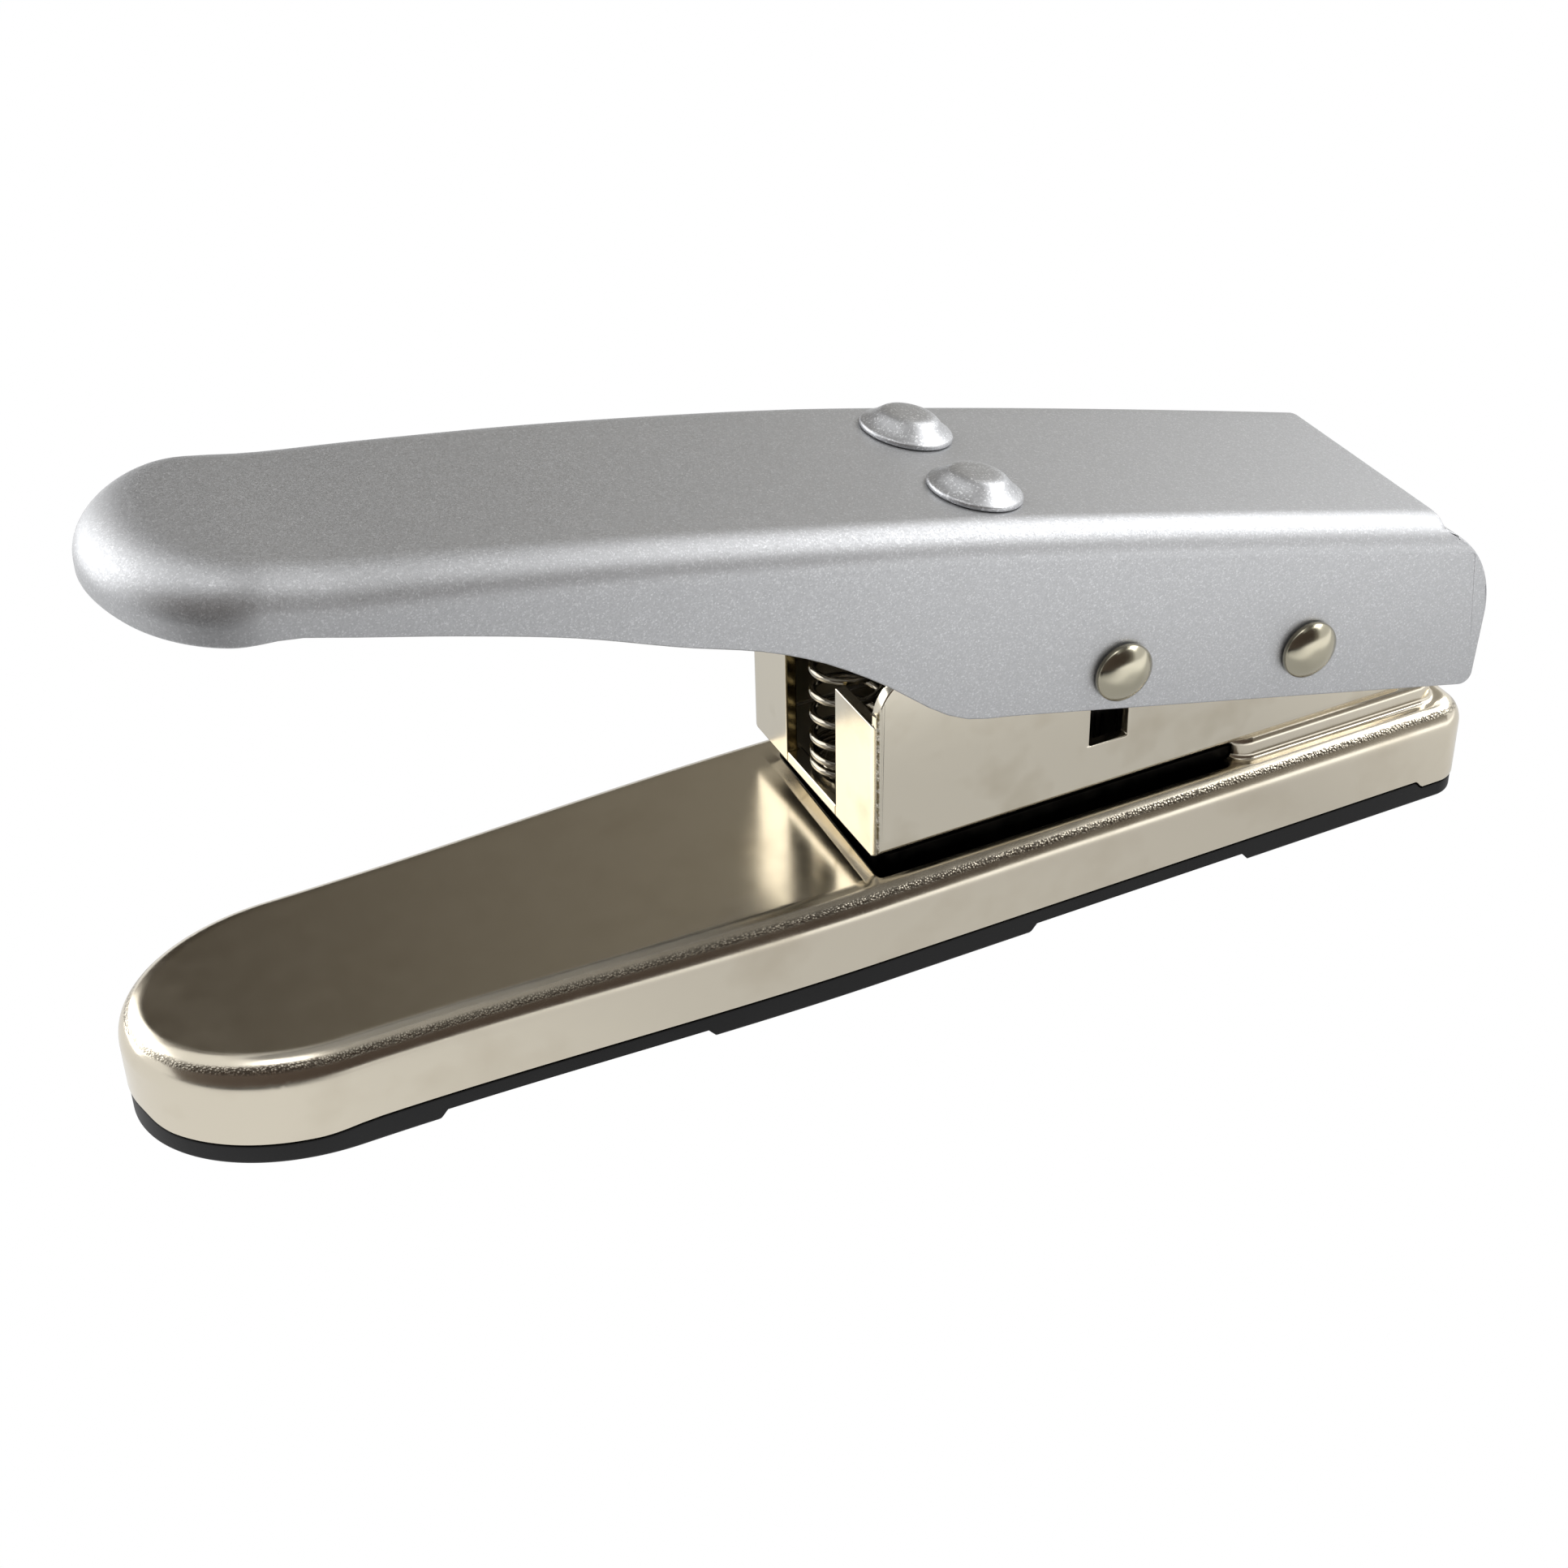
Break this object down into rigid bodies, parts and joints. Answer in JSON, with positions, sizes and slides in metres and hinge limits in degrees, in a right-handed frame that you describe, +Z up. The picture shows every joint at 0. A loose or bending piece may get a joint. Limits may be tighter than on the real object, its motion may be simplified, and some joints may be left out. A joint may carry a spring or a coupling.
{
  "type": "guitar pick punch",
  "caption": "Desk lever punch that cuts a plectrum out of a plastic card: sprung handle, sliding punch, die frame and catch-tray base.",
  "frame": {"origin": "on the ground under the middle of the base, halfway between its ends and its sides", "axes": "+X to the hinge end, +Y to the far side of the picture, +Z up"},
  "size_m": [0.1764, 0.042, 0.0766],
  "materials": {
    "nickel_plate": "satin nickel plate on pressed steel",
    "silver_paint": "silver metallic paint on pressed steel",
    "black_plastic": "black satin moulded plastic",
    "blackened_tool_steel": "blackened hardened steel",
    "ground_tool_steel": "ground hardened steel",
    "spring_steel": "bright spring wire"
  },
  "bodies": {
    "base": {"base_shell": "nickel_plate", "bottom_cover": "black_plastic", "die_frame": "nickel_plate", "die_plate": "blackened_tool_steel", "frame_rivet_front_near": "nickel_plate", "frame_rivet_front_far": "nickel_plate", "frame_rivet_rear_near": "nickel_plate", "frame_rivet_rear_far": "nickel_plate", "spring_stud": "nickel_plate", "return_spring": "spring_steel"},
    "lever": {"handle": "silver_paint", "spring_retainer": "nickel_plate", "top_rivet_near": "silver_paint", "top_rivet_far": "silver_paint", "pivot_pin": "nickel_plate", "drive_pin": "nickel_plate"},
    "cutter": {"punch": "ground_tool_steel"}
  },
  "joints": [
    {"name": "handle_hinge", "type": "hinge", "parent": "base", "child": "lever", "pos_m": [0.0597, 0, 0.03085], "axis": [0, -1, 0], "range_deg": [0, 15], "stiffness_Nm_per_rad": 5.9, "springref_deg": -10.89, "deforming": ["return_spring"]},
    {"name": "punch_slide", "type": "slide", "parent": "base", "child": "cutter", "axis": [0, 0, -1], "range_m": [0, 0.0073]}
  ],
  "couplings": [
    {"joint": "punch_slide", "follows": "handle_hinge", "m_per_rad": 0.02775}
  ]
}
